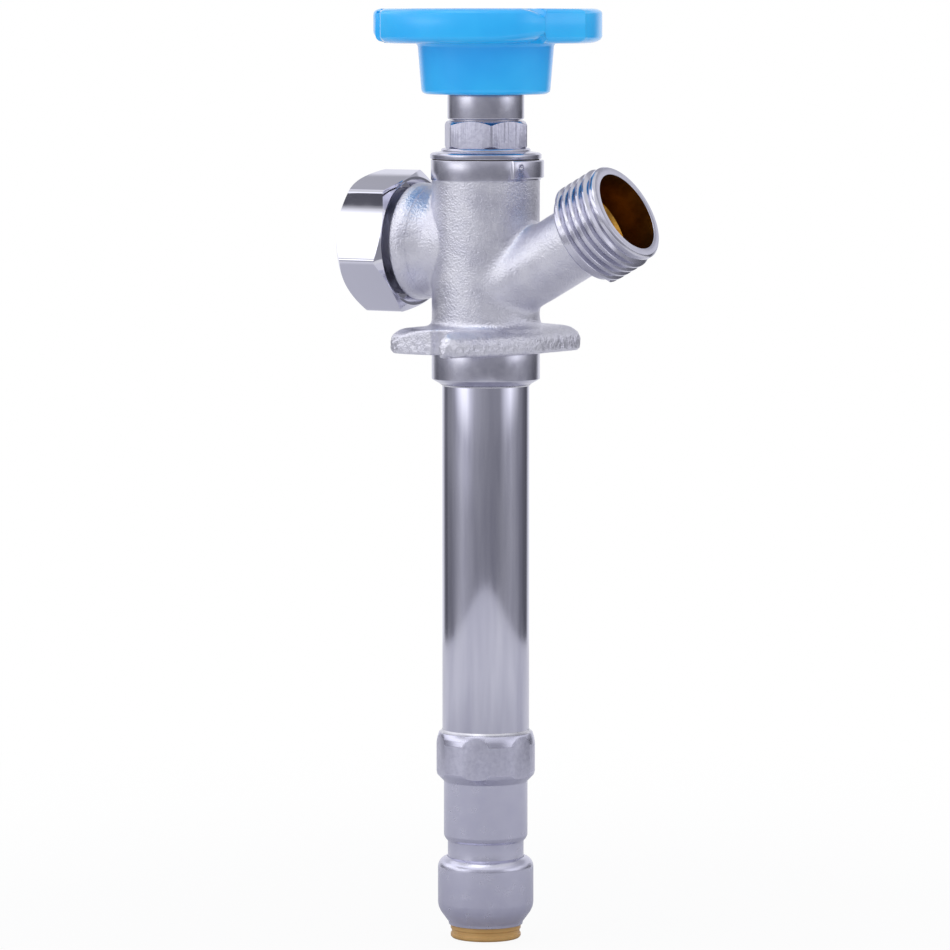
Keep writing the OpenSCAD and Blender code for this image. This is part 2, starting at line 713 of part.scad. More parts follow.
module handle() {
  color([0.28, 0.70, 0.98]) difference() {
    union() {
      // The underside is a shallow cone from the hub to the hollows, and flat below the lobes
      translate([0, 0, rim_z]) rotate_extrude() polygon([
        [0, 0], [hub_top_r, 0], [under_r, under_rise], [under_r, under_rise + eps], [0, under_rise + eps]
      ]);
      translate([0, 0, lobe_z]) linear_extrude(height = rim_edge + eps) lobe_plan(rim_edge);
      translate([0, 0, lobe_z + rim_edge]) {
        linear_extrude(height = rim_h - under_rise - 2 * rim_edge) lobe_plan(0);
      }
      translate([0, 0, handle_top - rim_edge - eps]) {
        linear_extrude(height = rim_edge + eps) lobe_plan(rim_edge);
      }
      translate([0, 0, hub_z]) rotate_extrude() polygon([
        [0, 0], [hub_foot_r - 0.9, 0], [hub_foot_r - 0.2, 0.3], [hub_foot_r, 1],
        [hub_top_r, hub_h + eps], [0, hub_h + eps]
      ]);
    }
    translate([0, 0, dish_z]) cylinder(r = dish_r, h = dish_depth + through);
    translate([0, 0, pocket_z]) cylinder(r = pocket_r, h = pocket_depth + through);
    translate([0, 0, hub_z - through]) cylinder(r = hub_hollow_r, h = hub_hollow_top - hub_z + through);
    // Square hole that the stem drives
    translate([-stem_square / 2 - running, -stem_square / 2 - running, hub_hollow_top - through]) {
      cube([stem_square + 2 * running, stem_square + 2 * running, handle_top]);
    }
  }
}

module handle_washer() {
  color(chrome) ring(screw_head_r + 0.7, screw_r + 0.1, pocket_z, pocket_z + screw_washer_t);
}

module handle_screw() {
  color(chrome) translate([0, 0, pocket_z + screw_washer_t]) difference() {
    union() {
      rotate_extrude() polygon([
        [0, 0], [screw_head_r, 0], [screw_head_r, screw_head_h * 0.5],
        [screw_head_r * 0.8, screw_head_h * 0.85], [screw_head_r * 0.4, screw_head_h], [0, screw_head_h]
      ]);
      translate([0, 0, -screw_len]) cylinder(r = screw_r, h = screw_len + eps);
    }
    for (turn = [0, 90]) {
      rotate([0, 0, turn]) translate([-2.4, -0.5, screw_head_h - 1.5]) cube([4.8, 1, 2]);
    }
  }
}

module stem_guide() {
  guide_r = tube_r - tube_wall - 0.2;
  color([0.92, 0.92, 0.90]) difference() {
    union() {
      translate([0, 0, -guide_drop - guide_h]) cylinder(r = stem_r + 1.8, h = guide_h);
      intersection() {
        translate([0, 0, -guide_drop - guide_h]) cylinder(r = guide_r, h = guide_h);
        for (turn = [0 : 60 : 120]) {
          rotate([0, 0, turn]) translate([-guide_r, -1, -guide_drop - guide_h]) {
            cube([2 * guide_r, 2, guide_h]);
          }
        }
      }
    }
    translate([0, 0, -guide_drop - guide_h - through]) {
      cylinder(r = stem_r + 0.03, h = guide_h + 2 * through);
    }
  }
}

module washer_carrier() {
  color(brass) difference() {
    translate([0, 0, carrier_z]) rotate_extrude() polygon([
      [0, 0], [carrier_r - 0.3, 0], [carrier_r, 0.3], [carrier_r, 6], [stem_tip_r + 3, 7.2],
      [stem_tip_r + 3, carrier_top - carrier_z], [0, carrier_top - carrier_z]
    ]);
    translate([0, 0, carrier_z - through]) {
      cylinder(r = washer_r + 0.1, h = carrier_floor - carrier_z + through);
    }
    translate([0, 0, tip_z - 0.3]) {
      cylinder(r = stem_tip_r + running, h = carrier_top - tip_z + 0.3 + through);
    }
    translate([0, 0, carrier_floor - through]) cylinder(r = screw_r + 0.05, h = tip_z - carrier_floor);
    ring(stem_tip_r + 1.4, stem_tip_r - 1, clip_z - 0.05, clip_z + clip_t + 0.05);
  }
}

module carrier_clip() {
  color([0.62, 0.63, 0.65]) difference() {
    ring(stem_tip_r + 1.3, stem_tip_r - 0.5, clip_z, clip_z + clip_t);
    translate([0, -1.2, clip_z - through]) cube([stem_r * 3, 2.4, clip_t + 2 * through]);
  }
}

module seat_washer() {
  color(rubber) ring(washer_r, screw_r + 0.1, washer_z, carrier_floor);
}

module seat_washer_screw() {
  color(brass) difference() {
    union() {
      translate([0, 0, washer_z - 1.5]) cylinder(r = seat_bore_r - 1.2, h = 1.5);
      translate([0, 0, washer_z - eps]) cylinder(r = screw_r, h = washer_t + 1.2);
    }
    translate([-4, -0.5, washer_z - 2]) cube([8, 1, 1.2]);
  }
}

module vacuum_cap() {
  color(chrome) on_vb_axis() difference() {
    translate([0, 0, cap_near_x]) rotate([0, 0, cap_turn]) {
      turned_hex(cap_flats, cap_corner_r, cap_len, 2, 1.6);
    }
    translate([0, 0, cap_near_x - through]) cylinder(r = cap_mouth_r, h = cap_mouth_depth + through);
    translate([0, 0, cap_near_x]) {
      cylinder(r = vb_thread_r + running, h = air_seat_far - cap_near_x);
    }
    translate([0, 0, cap_near_x]) {
      cylinder(r = vb_chamber_r - 0.4, h = cap_cavity_far - cap_near_x);
    }
    for (i = [0 : vent_count - 1]) {
      rotate([0, 0, i * 360 / vent_count + 45]) {
        translate([0, -vent_w / 2, cap_near_x + 1]) {
          cube([vb_thread_r + 1.4, vent_w, cap_cavity_far - cap_near_x - 1.4]);
        }
      }
    }
  }
}

module air_seat_gasket() {
  color([0.55, 0.33, 0.24]) on_vb_axis() {
    ring(vb_thread_r - 0.5, vb_chamber_r + 0.1, vb_gasket_x, air_seat_x);
  }
}

module air_seat() {
  color(brass) on_vb_axis() {
    ring(vb_thread_r - 0.5, air_port_r, air_seat_x, air_seat_far);
    ring(air_port_r + 1.2, air_port_r, air_lip_x, air_seat_x + eps);
  }
}

module float() {
  color([0.90, 0.90, 0.86]) on_vb_axis() difference() {
    union() {
      translate([0, 0, float_x]) cylinder(r = vb_chamber_r - 0.08, h = float_disc_t);
      translate([0, 0, float_x]) cylinder(r = 3.4, h = float_seal_x - float_x);
      translate([0, 0, float_seal_x - float_head_t]) cylinder(r = float_head_r, h = float_head_t);
      translate([0, 0, float_seal_x - eps]) cylinder(r = float_boss_r, h = float_seal_t + 0.6);
    }
    for (i = [0 : 5]) {
      rotate([0, 0, i * 60]) translate([(vb_chamber_r + 3.4) / 2 - 0.4, 0, float_x - through]) {
        cylinder(r = 1.6, h = float_disc_t + 2 * through);
      }
    }
  }
}

module float_seal() {
  color(rubber) on_vb_axis() {
    ring(float_head_r - 0.2, float_boss_r + 0.03, float_seal_x, float_seal_x + float_seal_t);
  }
}

// Points of the spring's wire: a helix with half a closed turn at each end
spring_rings = 8 * spring_turns;
spring_sides = 6;
function spring_centre(i) =
  let (turn = i / 8, climb = (spring_x1 - spring_x0 - spring_wire) / spring_turns)
  [spring_mean_r * cos(360 * turn), spring_mean_r * sin(360 * turn),
   spring_x0 + spring_wire / 2 + climb * turn];
spring_points = [for (i = [0 : spring_rings]) for (k = [0 : spring_sides - 1])
  let (c = spring_centre(i), a = 360 * i / 8, t = 360 * k / spring_sides)
  [c[0] + spring_wire / 2 * cos(t) * cos(a), c[1] + spring_wire / 2 * cos(t) * sin(a),
   c[2] + spring_wire / 2 * sin(t)]];
spring_faces = concat(
  [[for (k = [0 : spring_sides - 1]) k]],
  [for (i = [0 : spring_rings - 1]) for (k = [0 : spring_sides - 1])
    let (a = i * spring_sides + k, b = i * spring_sides + (k + 1) % spring_sides)
    [a, a + spring_sides, b + spring_sides]],
  [for (i = [0 : spring_rings - 1]) for (k = [0 : spring_sides - 1])
    let (a = i * spring_sides + k, b = i * spring_sides + (k + 1) % spring_sides)
    [a, b + spring_sides, b]],
  [[for (k = [spring_sides - 1 : -1 : 0]) spring_rings * spring_sides + k]]
);

module float_spring() {
  color([0.62, 0.63, 0.65]) on_vb_axis() polyhedron(points = spring_points, faces = spring_faces);
}

module push_fit_bell() {
  color(chrome) difference() {
    translate([0, 0, bell_bottom]) rotate_extrude() polygon(concat(
      [[0, 0], [release_r + 0.45, 0], [release_r + 0.6, bell_lip], [bell_r, bell_lip + bell_taper]],
      [for (a = [0 : 15 : 90]) [
        bell_r - bell_shoulder * (1 - cos(a)) * 0.9,
        bell_len - bell_shoulder * (1 - sin(a))
      ]],
      [[0, bell_len]]
    ));
    translate([0, 0, bell_ledge_z]) {
      cylinder(r = bell_in_r, h = bell_top - bell_wall - bell_ledge_z);
    }
    translate([0, 0, bell_bottom - through]) cylinder(r = bell_mouth_in_r, h = bell_len);
    translate([0, 0, bell_top - bell_wall - through]) {
      cylinder(r = inlet_neck_r + 0.03, h = bell_wall + 2 * through);
    }
  }
}

module pipe_seal() {
  mid_r = socket_r + 0.02 + ring_cs / 2;
  color(rubber) translate([0, 0, pipe_seal_z + ring_cs / 2]) rotate_extrude() {
    translate([mid_r, 0]) circle(r = ring_cs / 2, $fn = 32);
  }
}

module seal_spacer() {
  color([0.25, 0.45, 0.75]) rotate_extrude() polygon([
    [socket_r + 0.05, spacer_z + spacer_t], [bell_in_r - 0.1, spacer_z + spacer_t],
    [bell_in_r - 0.1, spacer_z], [socket_r + 1.6, spacer_z], [socket_r + 0.05, spacer_z + 1.5]
  ]);
}

module grab_ring() {
  color([0.75, 0.76, 0.78]) difference() {
    rotate_extrude() polygon([
      [socket_r + 0.05, grab_z + tooth_rise], [socket_r + 0.05, grab_z + tooth_rise + grab_t],
      [socket_r + 1.5, grab_z + grab_t], [bell_in_r - 0.15, grab_z + grab_t],
      [bell_in_r - 0.15, grab_z], [socket_r + 1.5, grab_z]
    ]);
    for (i = [0 : grab_teeth - 1]) {
      rotate([0, 0, i * 360 / grab_teeth]) translate([0, -0.35, grab_z - through]) {
        cube([socket_r + 1.5, 0.7, tooth_rise + grab_t + 2 * through]);
      }
    }
  }
}

module release_collar() {
  groove_z = release_bottom + 1.2;
  color([0.76, 0.60, 0.38]) difference() {
    rotate_extrude() polygon([
      [0, release_bottom], [release_r - 0.5, release_bottom], [release_r, release_bottom + 0.5],
      [release_r, groove_z], [release_r - 0.25, groove_z + 0.1], [release_r - 0.25, groove_z + 1.1],
      [release_r, groove_z + 1.2], [release_r, release_flange_z],
      [bell_in_r - 0.3, release_flange_z], [bell_in_r - 0.3, release_flange_z + release_flange_t],
      [release_r, release_flange_z + release_flange_t], [socket_r + 0.5, release_nose_top],
      [0, release_nose_top]
    ]);
    translate([0, 0, release_bottom - through]) {
      cylinder(r = socket_r + 0.05, h = release_nose_top - release_bottom + 2 * through);
    }
  }
}

valve_body();
tube();
inlet_fitting();
upper_solder_ring();
lower_solder_ring();
bonnet();
bonnet_gasket();
packing();
packing_washer();
packing_nut();
stem();
handle();
handle_screw();
handle_washer();
stem_guide();
washer_carrier();
carrier_clip();
seat_washer();
seat_washer_screw();
vacuum_cap();
air_seat();
air_seat_gasket();
float();
float_seal();
float_spring();
push_fit_bell();
pipe_seal();
seal_spacer();
grab_ring();
release_collar();
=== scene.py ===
import math
import bmesh
import bpy
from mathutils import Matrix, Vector


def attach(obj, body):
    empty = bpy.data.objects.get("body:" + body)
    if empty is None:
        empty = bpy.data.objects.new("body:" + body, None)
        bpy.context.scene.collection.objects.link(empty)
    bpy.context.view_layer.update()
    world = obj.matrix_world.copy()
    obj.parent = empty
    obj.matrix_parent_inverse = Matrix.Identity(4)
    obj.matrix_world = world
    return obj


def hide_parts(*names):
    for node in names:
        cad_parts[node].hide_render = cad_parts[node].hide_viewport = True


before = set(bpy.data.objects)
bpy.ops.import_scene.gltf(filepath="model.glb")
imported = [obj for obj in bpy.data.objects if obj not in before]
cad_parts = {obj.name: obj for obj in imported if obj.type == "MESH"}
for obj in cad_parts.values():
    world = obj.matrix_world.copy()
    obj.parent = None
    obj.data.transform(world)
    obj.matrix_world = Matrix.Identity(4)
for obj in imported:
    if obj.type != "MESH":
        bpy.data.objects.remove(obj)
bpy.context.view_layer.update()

# The casting. One brass casting makes the wall flange, the barrel and the roots of both side
# necks. It comes out of a sand mould, so its edges are round, its inside corners are filled,
# and its skin is grainy. It is shot blasted and then plated, and only its seats are turned.
mm = 0.001
barrel_r, neck_r = 13.75, 9.3
spout_foot, spout_turn = (0, 0, 13.65), (0, 61.1, 0)
breaker_foot, breaker_turn = (0, 0, 27.7), (0, -90, 0)


def by_spout(at):
    """How far a point, in mm, is along the spout from its foot, and how far off its axis."""
    out = at - Vector(spout_foot)
    return out.x * 0.8755 + out.z * 0.4833, math.hypot(out.x * 0.4833 - out.z * 0.8755, out.y)


def only(*pieces):
    """Leaves these pieces selected and nothing else, the first of them active."""
    bpy.ops.object.select_all(action="DESELECT")
    for piece in pieces:
        piece.select_set(True)
    bpy.context.view_layer.objects.active = pieces[0]
    return pieces[0]


def pick(part, test):
    """In edit mode, selects the faces, edges or verts whose middle, in mm, passes the test."""
    bpy.ops.mesh.select_mode(type={"faces": "FACE", "edges": "EDGE", "verts": "VERT"}[part])
    bpy.ops.mesh.select_all(action="DESELECT")
    mesh = bmesh.from_edit_mesh(bpy.context.object.data)
    for item in getattr(mesh, part):
        points = [item.co] if part == "verts" else [v.co for v in item.verts]
        item.select_set(bool(test(sum(points, Vector()) / len(points) / mm, item)))
    mesh.select_flush_mode()
    bmesh.update_edit_mesh(bpy.context.object.data)


def outline(name, section):
    """A closed line through the section's points, (radius, height) in mm, left in edit mode. A
    single point is drawn out along it."""
    bpy.ops.object.select_all(action="DESELECT")
    bpy.ops.mesh.primitive_plane_add(size=mm)
    piece = bpy.context.object
    piece.name = piece.data.name = name
    bpy.ops.object.mode_set(mode="EDIT")
    bpy.ops.mesh.select_mode(type="VERT")
    bpy.ops.mesh.select_all(action="SELECT")
    bpy.ops.mesh.merge(type="CENTER")
    bpy.ops.transform.translate(value=(section[0][0] * mm, 0, section[0][1] * mm))
    for (r0, z0), (r1, z1) in zip(section, [*section[1:], section[0]]):
        bpy.ops.mesh.extrude_region_move(
            TRANSFORM_OT_translate={"value": ((r1 - r0) * mm, 0, (z1 - z0) * mm)})
    bpy.ops.mesh.select_all(action="SELECT")
    bpy.ops.mesh.remove_doubles(threshold=1e-6)
    return piece


def turned(name, section, rounding=0.0, around=96):
    """A turned solid round Z: half of its section, with corners rounded, spun once round."""
    piece = outline(name, section)
    if rounding:
        bpy.ops.mesh.edge_face_add()
        pick("verts", lambda at, item: at.x > 0.01)
        bpy.ops.mesh.bevel(offset=rounding * mm, segments=3, affect="VERTICES", clamp_overlap=True)
        bpy.ops.mesh.select_all(action="SELECT")
        bpy.ops.mesh.delete(type="ONLY_FACE")
    pick("edges", lambda at, item: at.x < 0.005)
    bpy.ops.mesh.delete(type="EDGE")
    bpy.ops.mesh.select_all(action="SELECT")
    bpy.ops.mesh.spin(steps=around, angle=math.tau, center=(0, 0, 0), axis=(0, 0, 1))
    bpy.ops.mesh.select_all(action="SELECT")
    bpy.ops.mesh.remove_doubles(threshold=1e-6)
    bpy.ops.mesh.normals_make_consistent(inside=False)
    bpy.ops.object.mode_set(mode="OBJECT")
    return piece


def arc(centre, radius, first, last, steps=6):
    """Points of an arc for a section, from one angle to another in degrees."""
    angles = [math.radians(first + (last - first) * i / steps) for i in range(steps + 1)]
    return [(centre[0] + radius * math.cos(a), centre[1] + radius * math.sin(a)) for a in angles]


def lay(piece, turn, at=(0, 0, 0)):
    """Turns a piece made at the origin, in degrees, and sets it down at its place, in mm."""
    only(piece)
    piece.rotation_euler = [math.radians(t) for t in turn]
    piece.location = Vector(at) * mm
    bpy.ops.object.transform_apply(location=True, rotation=True, scale=True)
    return piece


def carve(piece, tool, how="DIFFERENCE"):
    """Cuts the tool out of the piece, adds it, or keeps what both share, and uses it up."""
    only(piece)
    change = piece.modifiers.new("carve", "BOOLEAN")
    change.operation, change.object, change.solver = how, tool, "MANIFOLD"
    bpy.ops.object.modifier_apply(modifier=change.name)
    bpy.data.objects.remove(tool)
    return piece


def block(at, size):
    """A rectangular cutter with its middle here, in mm."""
    bpy.ops.object.select_all(action="DESELECT")
    bpy.ops.mesh.primitive_cube_add(size=1, location=[c * mm for c in at], scale=[s * mm for s in size])
    bpy.ops.object.transform_apply(location=True, rotation=True, scale=True)
    return bpy.context.object


def modify(piece, kind, **settings):
    """Adds a modifier with these settings and applies it."""
    only(piece)
    change = piece.modifiers.new(kind.lower(), kind)
    for name, value in settings.items():
        setattr(change, name, value)
    bpy.ops.object.modifier_apply(modifier=change.name)
    return piece


def shade(piece, angle=35):
    """Smooth shading, with edges sharper than the angle kept crisp."""
    only(piece)
    bpy.ops.object.shade_smooth_by_angle(angle=math.radians(angle))
    return piece


def paint(piece, *materials):
    """Gives a finished piece its materials, the first on every face."""
    piece.data.materials.clear()
    for material in materials:
        piece.data.materials.append(material)
    for face in piece.data.polygons:
        face.material_index = 0


def linear(code):
    """An sRGB hex colour in Blender's linear values."""
    parts = [int(code[i:i + 2], 16) / 255 for i in (1, 3, 5)]
    return [p / 12.92 if p <= 0.04045 else ((p + 0.055) / 1.055) ** 2.4 for p in parts] + [1.0]


def finish(name, colour, metallic, roughness, **more):
    """A new material, and its shader with the values that are the same all over."""
    material = bpy.data.materials.new(name)
    material.use_nodes = True
    shader = material.node_tree.nodes["Principled BSDF"]
    shader.inputs["Base Color"].default_value = linear(colour)
    shader.inputs["Metallic"].default_value = metallic
    shader.inputs["Roughness"].default_value = roughness
    for socket, value in more.items():
        shader.inputs[socket.replace("_", " ")].default_value = value
    return material, shader


def add(material, kind, settings, feeds=(), **sources):
    """Adds a node with its settings. Sources feed its sockets, and feeds takes what it gives."""
    tree = material.node_tree
    made = tree.nodes.new("ShaderNode" + kind)
    for name, value in settings.items():
        if name == "stops":
            ends = made.color_ramp.elements
            for stop, (place, code) in zip((ends[0], ends[1]), (value[0], value[-1])):
                stop.position, stop.color = place, linear(code)
            for place, code in value[1:-1]:
                ends.new(place).color = linear(code)
        elif name in made.inputs.keys():
            made.inputs[name].default_value = value
        else:
            setattr(made, name, value)
    for name, source in sources.items():
        tree.links.new(source, made.inputs[name])
    if feeds:
        tree.links.new(made.outputs[0], feeds[0].inputs[feeds[1]])
    return made


def speckle(material, size, detail=2.0, **more):
    """Noise with spots of this size, in mm, fixed to the piece."""
    place = add(material, "TexCoord", {}).outputs["Object"]
    spots = add(material, "TexNoise", {"Scale": 1000 / size, "Detail": detail, **more}, Vector=place)
    return spots.outputs["Fac"]


def tint(material, shader, spots, dark, light, lightest=0.7):
    """Lets the colour drift between two tones."""
    add(material, "ValToRGB", {"stops": [(0.3, dark), (lightest, light)]}, (shader, "Base Color"),
        Fac=spots)


def sheen(material, shader, spots, low, high):
    """Lets the roughness drift between two values."""
    add(material, "MapRange", {"From Min": 0.3, "From Max": 0.7, "To Min": low, "To Max": high},
        (shader, "Roughness"), Value=spots)


def relief(material, shader, spots, strength, depth):
    """Gives the surface bumps of this depth, in mm."""
    add(material, "Bump", {"Strength": strength, "Distance": depth * mm}, (shader, "Normal"),
        Height=spots)


# Chromium over a shot-blasted brass casting: bright grey, with grain of about 0.5 mm that
# breaks each reflection into sparkle, and tones that drift over a few millimetres.
cast_chrome, shader = finish("cast_chrome", "#D8D8E2", 1.0, 0.36)
grain = speckle(cast_chrome, 0.5)
swell = speckle(cast_chrome, 5)
tint(cast_chrome, shader, swell, "#D2D2DE", "#E2E2EA")
sheen(cast_chrome, shader, swell, 0.3, 0.42)
relief(cast_chrome, shader, grain, 1.0, 0.2)

# Machined brass inside the waterways: orange-gold where it catches the light and nearly brown
# in the depth of a bore, with fine turning lines.
raw_brass, shader = finish("turned_brass", "#CF9A45", 1.0, 0.3)
lines = speckle(raw_brass, 0.8, 3.0)
tint(raw_brass, shader, lines, "#A87428", "#DDAA50")
relief(raw_brass, shader, lines, 0.5, 0.03)

# The flange: a round middle with a broad arm and a narrow finger at each end. It is drawn
# round five discs, in layers that make its rounded shoulder. Between arm and finger a slot
# for a wall screw is left open.
middle_r, shoulder, rim_top, crown = 17, 4.6, 3.3, 3.2
slot_r, slot_at = 4, 22
discs_at = [(0, 0, middle_r), (13.8, 15.5, 4.3), (-13.8, -15.5, 4.3), (5.6, -27.2, 2.5), (-5.6, 27.2, 2.5)]
layers = []
for step in range(7):
    rise = math.radians(15 * step)
    inset = shoulder * (1 - math.cos(rise))
    low, high = max(0, 0.7 - 0.35 * step), rim_top + crown * math.sin(rise)
    bpy.ops.object.select_all(action="DESELECT")
    discs = []
    for x, y, radius in discs_at:
        left = max(0.6, radius - inset)
        share = 1 - (inset - radius + left) / max(1, math.hypot(x, y))
        bpy.ops.mesh.primitive_cylinder_add(
            vertices=128 if radius == middle_r else 48, radius=left * mm, depth=(high - low) * mm,
            location=(x * share * mm, y * share * mm, (low + high) / 2 * mm))
        discs.append(bpy.context.object)
    layer = only(*discs)
    bpy.ops.object.join()
    bpy.ops.object.transform_apply(location=True, rotation=True, scale=True)
    bpy.ops.object.mode_set(mode="EDIT")
    bpy.ops.mesh.select_all(action="SELECT")
    bpy.ops.mesh.convex_hull()
    bpy.ops.mesh.select_all(action="SELECT")
    bpy.ops.mesh.dissolve_limited(angle_limit=math.radians(0.2))
    bpy.ops.mesh.select_all(action="SELECT")
    bpy.ops.mesh.normals_make_consistent(inside=False)
    bpy.ops.object.mode_set(mode="OBJECT")
    layers.append(layer)
flange = layers[0]
for layer in layers[1:]:
    carve(flange, layer, "UNION")
for side in (1, -1):
    bpy.ops.object.select_all(action="DESELECT")
    bpy.ops.mesh.primitive_cylinder_add(vertices=48, radius=slot_r * mm, depth=20 * mm,
                                        location=(0, side * slot_at * mm, 3 * mm))
    slot = bpy.context.object
    bpy.ops.object.transform_apply(location=True, rotation=True, scale=True)
    bpy.ops.object.mode_set(mode="EDIT")
    pick("verts", lambda at, item: side * at.y > slot_at + 0.01)
    bpy.ops.transform.translate(value=(0, side * 16 * mm, 0))
    bpy.ops.object.mode_set(mode="OBJECT")
    carve(flange, slot)
    # The broad arm ends square, so that the slot is open beside the finger.
    carve(flange, block((side * 15, side * 35.5, 3), (30, 30, 20)))

barrel = turned("barrel", [
    (0, 1), (15.3, 1), (15.3, 6.4), *arc((15.35, 8), 1.6, 270, 180), (barrel_r, 45), (0, 45)])
neck = lay(turned("spout_neck", [(0, 0), (neck_r, 0), (neck_r, 34.6), (0, 34.6)]), spout_turn, spout_foot)
# The spout widens sideways into the barrel, so that their front faces run into one another.
swelling = turned("spout_swelling", [
    (0, 3), (12.2, 3), (12.0, 8), (11.0, 14), (9.8, 21), (8.6, 28), (0, 28)])
bpy.ops.transform.resize(value=(0.76, 1, 1))
lay(swelling, spout_turn, spout_foot)
root = lay(turned("breaker_neck", [
    (0, 0), (12.2, 0), (12.2, 11.9), (12.6, 13.2), (13.5, 15.0), (14.6, 16.6), (14.6, 18.4), (0, 18.4)]),
    breaker_turn, breaker_foot)
casting = only(flange, barrel, neck, swelling, root)
bpy.ops.object.join()
casting.name = casting.data.name = "body_casting"
modify(casting, "REMESH", mode="VOXEL", voxel_size=0.4 * mm)

# Round the foot of the spout the mould is filled more, so that corner is smoothed further.
corner = casting.vertex_groups.new(name="corner")
for v in casting.data.vertices:
    along, off = by_spout(v.co / mm)
    near = abs(v.co.xy.length / mm - barrel_r) + abs(off - neck_r)
    if along > 6 and near < 6:
        corner.add([v.index], min(1.0, (6 - near) / 3), "REPLACE")
modify(casting, "SMOOTH", factor=0.5, iterations=10)
modify(casting, "SMOOTH", factor=0.5, iterations=110, vertex_group="corner")

# The flange's rim keeps the coarse skin of the sand, in lumps of about a millimetre.
rim = casting.vertex_groups.new(name="rim")
for v in casting.data.vertices:
    at = v.co / mm
    if at.z < 4.6 and abs(v.normal.z) < 0.85:
        rim.add([v.index], 1.0 if at.z < 3.8 else (4.6 - at.z) / 0.8, "REPLACE")
sand = bpy.data.textures.new("sand", "CLOUDS")
sand.noise_scale, sand.noise_depth = 0.9 * mm, 1
modify(casting, "DISPLACE", texture=sand, texture_coords="LOCAL", strength=0.5 * mm, mid_level=0.58,
       vertex_group="rim")
waves = bpy.data.textures.new("skin", "CLOUDS")
waves.noise_scale, waves.noise_depth = 2.2 * mm, 1
modify(casting, "DISPLACE", texture=waves, texture_coords="LOCAL", strength=0.07 * mm, mid_level=0.5)

# Bores, cut after casting: the tube's socket, the chamber, the spout's waterway and the
# vacuum breaker's throat. What is cut shows brass.
bore = turned("bore", [(0, -2), (11.2, -2), (11.2, 8.8), (9.3, 8.8), (9.3, 37.2), (10.4, 37.2),
                       (10.4, 47), (0, 47)])
carve(casting, bore)
carve(casting, lay(turned("waterway", [(0, 2), (7.4, 2), (7.4, 40), (0, 40)]), spout_turn, spout_foot))
carve(casting, lay(turned("throat", [(0, 5), (6.4, 5), (6.4, 14.4), (11.2, 14.4), (11.2, 22), (0, 22)]),
                   breaker_turn, breaker_foot))
paint(casting, cast_chrome, raw_brass)
bored_r, waterway_r = 11.3, 7.5
for face in casting.data.polygons:
    at = face.center / mm
    in_barrel = math.hypot(at.x, at.y) < bored_r
    in_spout = at.x > 0 and by_spout(at)[1] < waterway_r
    in_breaker = at.x < 0 and math.hypot(at.y, at.z - breaker_foot[2]) < bored_r
    face.material_index = 1 if in_barrel or in_spout or in_breaker else 0
shade(casting, 50)
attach(casting, "sillcock_body")
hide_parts("valve_body")

# The turned faces of the casting: the band under the bonnet with its raised pad, the spigot
# that goes into the wall, the collar and thread of the breaker's neck, and the hose thread.
# They were cut after casting and plated with it, so they are smooth, with fine turning lines,
# but the collar here is given the casting's grainy plating.
turned_chrome, shader = finish("turned_chrome", "#C9C9D6", 1.0, 0.2)
lines = speckle(turned_chrome, 2.5, 3.0)
sheen(turned_chrome, shader, lines, 0.16, 0.22)
tint(turned_chrome, shader, lines, "#C4C4D2", "#CECEDA")

band = turned("body_band", [(10.45, 43.6), (13.97, 43.6), (13.97, 48.8), (10.45, 48.8)], 0.15)
pad = turned("pad", [(11.5, 44.2), (14.8, 44.2), (14.8, 48.8), (11.5, 48.8)], 0.35)
carve(pad, block((12, 0, 46), (10, 14.6, 10)), "INTERSECT")
modify(pad, "BEVEL", width=0.4 * mm, segments=3, limit_method="ANGLE", angle_limit=math.radians(60))
bpy.ops.object.select_all(action="DESELECT")
bpy.ops.mesh.primitive_uv_sphere_add(radius=0.75 * mm, segments=24, ring_count=12,
                                     location=(13.95 * mm, -5.4 * mm, 47.1 * mm))
dimple = bpy.context.object
bpy.ops.object.transform_apply(location=True, rotation=True, scale=True)
carve(pad, dimple)
carve(band, pad, "UNION")
spigot = turned("body_spigot", [
    (11.18, -8.24), (11.56, -8.24), (13.8, -6.9), (13.8, 0.6), (11.18, 0.6)], 0.12)
collar = lay(turned("breaker_collar", [
    (11.25, 15.2), (14.0, 15.6), (14.5, 16.6), (14.8, 17.4), (15, 18.6), (15, 19.6), (13.6, 20),
    (13.6, 26.6), (13.2, 27), (11.25, 27)], 0.15), breaker_turn, breaker_foot)
for piece, plating in ((band, turned_chrome), (spigot, turned_chrome), (collar, cast_chrome)):
    paint(piece, plating)
    shade(piece)
    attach(piece, "sillcock_body")
    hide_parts("valve_body")

# The hose end: a turned root with a mouth bored into it, and the thread's ridge wound round it.
# The mouth's wall is painted dark brown as painted shade inside the bore, and only the seat at its
# foot is left gold.
# Painted shade: a dark brown brass for the hose mouth's wall.
bore_shade_brass, shader = finish("bore_shade_brass", "#7A4C18", 1.0, 0.38)
shade_mottle = speckle(bore_shade_brass, 4, 3.0)
tint(bore_shade_brass, shader, shade_mottle, "#5E3810", "#8A5A1E")
hose_end = turned("hose_end", [
    (7.45, 33.1), (11.7, 33.1), (12.19, 33.6), (12.19, 45.1), (12.9, 45.7), (12.9, 46.7), (12.3, 47.3),
    (10.45, 47.3), (10.45, 37.9), (7.45, 34.6)], 0.12, 128)
pitch = 2.209
ridge = outline("ridge", [
    (12.0, 32.95), (13.4, 33.58), (13.49, 33.66), (13.49, 34.24), (13.4, 34.32), (12.0, 34.95)])
bpy.ops.object.mode_set(mode="OBJECT")
modify(ridge, "SCREW", screw_offset=pitch * mm, iterations=5, steps=96, render_steps=96,
       use_merge_vertices=False)
bpy.ops.object.mode_set(mode="EDIT")
bpy.ops.mesh.select_mode(type="EDGE")
bpy.ops.mesh.select_all(action="SELECT")
bpy.ops.mesh.fill_holes(sides=0)
bpy.ops.mesh.select_all(action="SELECT")
bpy.ops.mesh.normals_make_consistent(inside=False)
bpy.ops.object.mode_set(mode="OBJECT")
